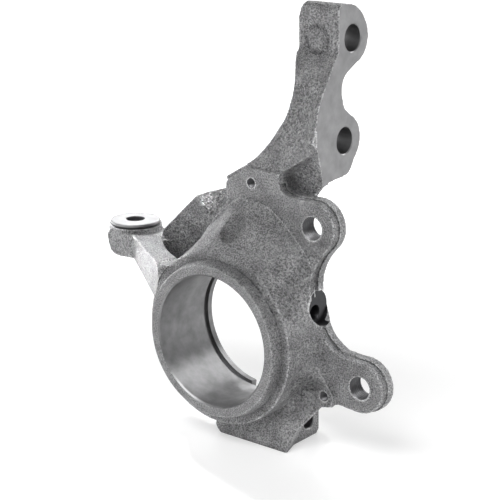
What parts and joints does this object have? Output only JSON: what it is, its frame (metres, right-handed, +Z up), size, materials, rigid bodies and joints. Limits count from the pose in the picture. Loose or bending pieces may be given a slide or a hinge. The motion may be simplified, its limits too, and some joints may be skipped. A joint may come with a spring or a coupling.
{
  "type": "steering knuckle",
  "caption": "Cast steering knuckle for a strut suspension: bored hub barrel with strut arm, caliper ears, tie rod arm and ball joint clamp",
  "frame": {"origin": "centre of the hub bore at the outboard face of its rim", "axes": "+X towards the brake caliper ears, +Y inboard along the hub axis, +Z up towards the strut"},
  "size_m": [0.1998, 0.0751, 0.2341],
  "materials": {
    "casting": "as-cast grey iron with machined bores and seats"
  },
  "bodies": {
    "root": {"knuckle": "casting"}
  },
  "joints": []
}
